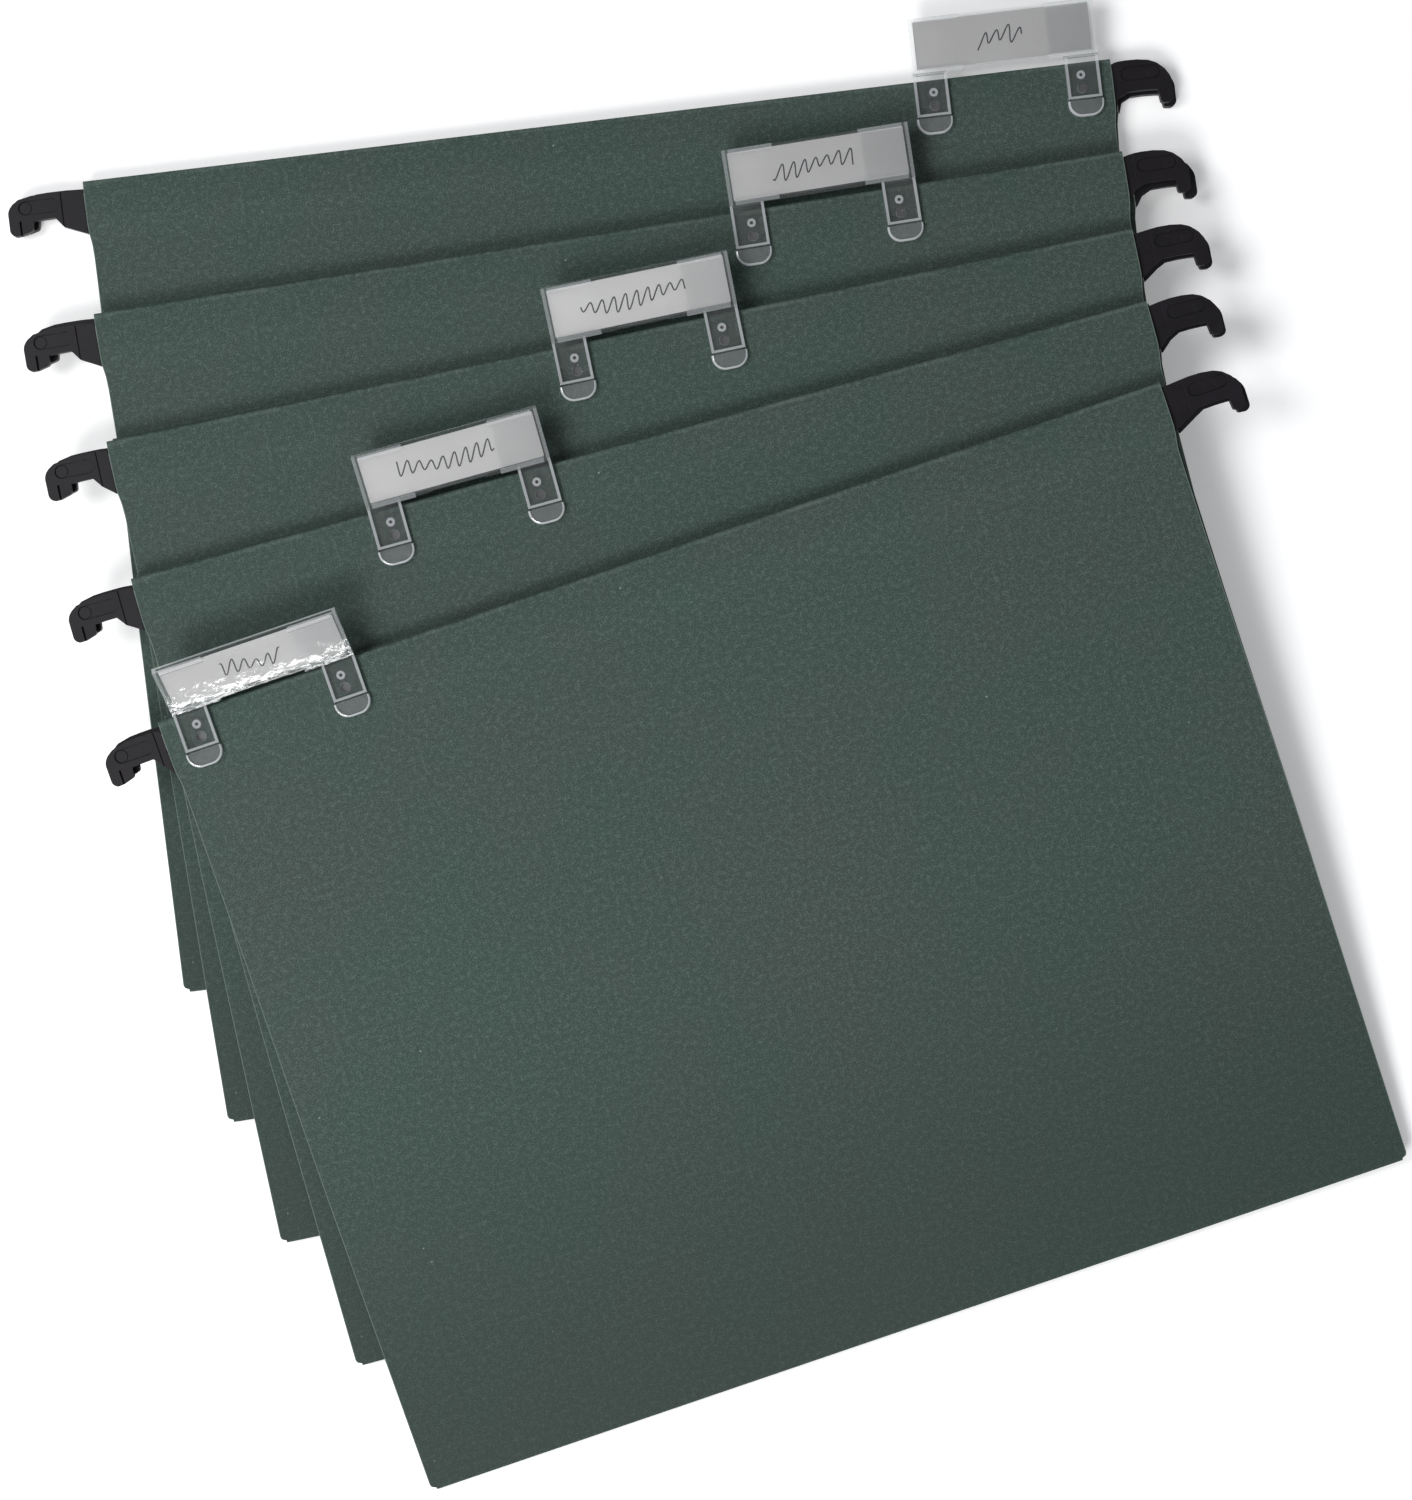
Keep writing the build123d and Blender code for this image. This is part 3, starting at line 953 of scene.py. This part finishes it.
def leg_model(side):
    """Leg with its rims, ridge, thick end and two studs. Its origin is on the board's top edge."""
    half = LEG_WIDTH / 2
    top = WINDOW_RISE
    face = TAB_GAP + TAB_PLATE
    plate = block((-half, -LEG_LENGTH + LIP_END_REACH, TAB_GAP), (half, top, face))
    wide = half + LIP_END_REACH
    lip_top = TAB_GAP + LIP_END_THICK
    lip = block((-wide, -LEG_LENGTH, TAB_GAP + LIP_END_RISE), (wide, -LIP_END_DROP, lip_top))

    def at_foot(a, b):
        return upright(a, b) and a.y < -LIP_END_DROP - NEAR

    def around_lip(a, b):
        return min(a.z, b.z) > lip_top - NEAR and min(a.y, b.y) < -LIP_END_DROP - NEAR

    for piece in (plate, lip):
        round_edges(piece, at_foot, LEG_ROUND, 8)
    round_edges(lip, around_lip, LIP_END_EDGE, 3)
    rim_top = face + LEG_RIM_HEIGHT
    parts = [lip]
    for edge in (-1, 1):
        x0, x1 = sorted((edge * (half - LEG_RIM), edge * half))
        parts.append(block((x0, -RIDGE_DROP, face - OVERLAP), (x1, top, rim_top)))
    ridge_low = -RIDGE_DROP - RIDGE_WIDTH / 2
    ridge_high = ridge_low + RIDGE_WIDTH
    parts.append(block((-half, ridge_low, face - OVERLAP), (half, ridge_high, rim_top)))
    stud_x = -side * STUD_INSET
    stud_end = -BOARD_THICK / MM
    ring_top = face + RING_HEIGHT
    parts.append(rod(stud_x, -RING_DROP, stud_end, ring_top, RING_RADIUS))
    parts.append(rod(stud_x, -BOSS_DROP, stud_end, TAB_GAP + OVERLAP, RING_RADIUS))
    parts.append(rod(stud_x, -BOSS_DROP, face - OVERLAP, face + BOSS_HEIGHT, BOSS_RADIUS))
    combine(plate, parts)
    bore = rod(stud_x, -RING_DROP, stud_end - PAST, ring_top + PAST, RING_BORE)
    combine(plate, [bore], "DIFFERENCE")
    return plate


def leg_highlight(place, slant):
    """How much painted highlight a face of a leg gets: its edges, rims, ridge, ring and thick end are
    painted milky where they would catch the light.
    """
    if place.z < TAB_GAP:
        return 0.0
    if slant:
        return 1.0
    if place.y < -LIP_END_DROP:
        return 0.16
    return 0.7 if place.z > TAB_GAP + TAB_PLATE + LIP_HEIGHT - OVERLAP else 0.0


def window_highlight(place, slant):
    """How much painted highlight a face of the window gets."""
    if slant:
        return 0.8
    return 0.35 if place.z > TAB_PLATE / 2 + POCKET + COVER_THICK + WALL_RISE / 2 else 0.0


def mark_highlights(piece, highlight_of):
    """Marks each face of a clear piece with its share of painted highlight."""
    mesh = piece.data
    highlights = [highlight_of(face.center / MM, abs(face.normal.z) < FLAT) for face in mesh.polygons]
    mesh.attributes.new("edge_highlight", "FLOAT", "FACE").data.foreach_set("value", highlights)


def make_tabs():
    """A clear tab on each file: its window leans up from two legs, which lie on the board."""
    material = clear_finish()
    seat = Matrix.Translation(Vector((0, WINDOW_RISE, PIVOT)) * MM)
    flat = PLACES[5]["front"]
    leaned = flat @ Matrix.Rotation(window_lean(5), 4, "X")
    hinge_line = leaned.inverted() @ flat @ Vector((0, HEIGHT + WINDOW_RISE * MM, PIVOT * MM))
    height = (extent("file5_tab_holder", leaned)[1].y - hinge_line.y) / MM
    legs = {side: leg_model(side) for side in (-1, 1)}
    for leg in legs.values():
        break_edges(leg, CLEAR_EDGE)
        mark_highlights(leg, leg_highlight)
    window = window_model(TAB_WIDTH, height)
    break_edges(window, CLEAR_EDGE)
    mark_highlights(window, window_highlight)
    for number in FILES:
        top_edge = PLACES[number]["front"] @ Matrix.Translation((TAB_MIDDLES[number], HEIGHT, 0))
        tilt = Matrix.Rotation(window_lean(number), 4, "X")
        tab = copy_of(window, f"file{number}_tab_moulding", seat @ tilt)
        parts = [tab]
        for side in (-1, 1):
            sideways = Matrix.Translation((side * LEG_OFFSET * MM, 0, 0))
            parts.append(copy_of(legs[side], "leg", sideways))
            knuckle = rod(0, 0, -LEG_WIDTH / 2, LEG_WIDTH / 2, TAB_PLATE / 2 + OVERLAP, 20)
            knuckle.data.transform(sideways @ seat @ Matrix.Rotation(pi / 2, 4, "Y"))
            parts.append(knuckle)
        bpy.ops.object.select_all(action="DESELECT")
        for part in parts:
            part.select_set(True)
        bpy.context.view_layer.objects.active = tab
        bpy.ops.object.join()
        tab.data.transform(top_edge)
        paint(tab, material)
        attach(tab, f"file{number}_tab")
        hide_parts(f"file{number}_tab_holder")
    for model in (window, *legs.values()):
        bpy.data.objects.remove(model)


# Card inserts


def squiggle(number, place, low, high):
    """Loose pen stroke across a card."""
    data = bpy.data.curves.new(f"file{number}_pen_stroke", "CURVE")
    data.dimensions = "3D"
    data.bevel_depth = PEN_RADIUS
    data.bevel_resolution = 1
    length = (high.x - low.x) * STROKE_SHARE[number]
    start = (low.x + high.x) / 2 - length * STROKE_START
    middle = (low.y + high.y) / 2
    waves = length / STROKE_PITCH
    count = int(waves * POINTS_PER_WAVE)
    spline = data.splines.new("NURBS")
    spline.points.add(count - 1)
    for index, point in enumerate(spline.points):
        share = index / (count - 1)
        size = STROKE_HEIGHT * (0.45 + 0.55 * abs(sin(3.7 * share + number)))
        up = size * sin(2 * pi * waves * share + number)
        x = start + length * share + STROKE_SLANT * up
        y = middle + up + STROKE_HEIGHT * STROKE_DRIFT * sin(5 * share + number)
        point.co = (x, y, high.z, 1)
    spline.order_u = 3
    spline.use_endpoint_u = True
    stroke = bpy.data.objects.new(f"file{number}_pen_stroke", data)
    bpy.context.scene.collection.objects.link(stroke)
    only(stroke)
    bpy.ops.object.convert(target="MESH")
    stroke = bpy.context.object
    for vertex in stroke.data.vertices:
        vertex.co.z = high.z + (vertex.co.z - high.z) * PEN_FLATNESS
    stroke.data.transform(place)
    return stroke


def card_frame(number):
    """Frame of a card, leaned with its tab."""
    place = PLACES[number]["front"]
    up = Vector(JOINTS[f"file{number}_card_out"]["axis"])
    across = place.to_3x3() @ Vector((1, 0, 0))
    return placed(place.translation, across, across.cross(up))


def card_model(low, high):
    """Card that fills a box in millimetres, with rounded corners."""
    card = block(low, high)
    only(card)
    bpy.ops.object.mode_set(mode="EDIT")
    bpy.ops.mesh.select_all(action="SELECT")
    bpy.ops.mesh.subdivide(number_cuts=3)
    leave()
    middle = (low + high) / 2
    half = (high - low) / 2

    def at_corner(a, b):
        at_side = abs(abs(a.x - middle.x) - half.x) < NEAR
        at_end = abs(abs(a.y - middle.y) - half.y) < NEAR
        return upright(a, b) and at_side and at_end

    round_edges(card, at_corner, CARD_ROUND, 3)
    break_edges(card, CARD_EDGE, harden=False)
    return card


def make_cards():
    """A card insert in each tab, with a pen squiggle in place of any words."""
    material = card_finish()
    ink = ink_finish()
    for number in FILES:
        place = card_frame(number)
        low, high = extent(f"file{number}_tab_card", place)
        card = card_model(low / MM, high / MM)
        card.name = f"file{number}_card_insert"
        card.data.transform(place)
        paint(card, material)
        smooth(card, 35)
        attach(card, f"file{number}_card")
        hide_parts(f"file{number}_tab_card")
        stroke = squiggle(number, place, low, high)
        paint(stroke, ink)
        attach(stroke, f"file{number}_card")


def finish_bars():
    """Steel finish on the bars inside the hems."""
    material = steel_finish()
    for number in FILES:
        for face in ("back", "front"):
            bar = frame["nodes"][f"file{number}_{face}_bar"]
            for slot in bar.material_slots:
                slot.material = material


# Stage


def make_camera():
    """Camera nearly straight above the pile."""
    data = bpy.data.cameras.new("camera")
    data.lens = CAMERA_LENS
    data.sensor_width = CAMERA_SENSOR
    camera = bpy.data.objects.new("camera", data)
    turn = (
        Matrix.Rotation(CAMERA_SWAY, 4, "Y")
        @ Matrix.Rotation(CAMERA_TILT, 4, "X")
        @ Matrix.Rotation(CAMERA_ROLL, 4, "Z")
    )
    back = turn.to_3x3() @ Vector((0, 0, 1))
    camera.matrix_world = Matrix.Translation(CAMERA_AIM + back * CAMERA_DISTANCE) @ turn
    bpy.context.scene.collection.objects.link(camera)
    bpy.context.scene.camera = camera


def area_light(name, place, aim, size, watts):
    """Soft rectangular light."""
    data = bpy.data.lights.new(name, "AREA")
    data.shape = "RECTANGLE"
    data.size, data.size_y = size
    data.energy = watts
    light = bpy.data.objects.new(name, data)
    light.location = place
    light.rotation_mode = "QUATERNION"
    light.rotation_quaternion = (Vector(aim) - Vector(place)).to_track_quat("-Z", "Y")
    bpy.context.scene.collection.objects.link(light)


def make_stage():
    """Floor, world and lights."""
    bpy.ops.object.select_all(action="DESELECT")
    bpy.ops.mesh.primitive_plane_add(size=FLOOR_SIZE)
    floor = bpy.context.object
    floor.name = "floor"
    paint(floor, floor_finish())
    world = bpy.data.worlds.new("studio")
    world.use_nodes = True
    sky = world.node_tree.nodes["Background"]
    sky.inputs["Color"].default_value = WORLD_COLOUR
    sky.inputs["Strength"].default_value = WORLD_STRENGTH
    bpy.context.scene.world = world
    for name, settings in LIGHTS.items():
        area_light(name, *settings)
    bpy.context.scene.view_settings.view_transform = "Standard"


make_camera()
make_stage()
make_boards()
make_hooks()
make_tabs()
make_cards()
finish_bars()
bpy.context.view_layer.update()
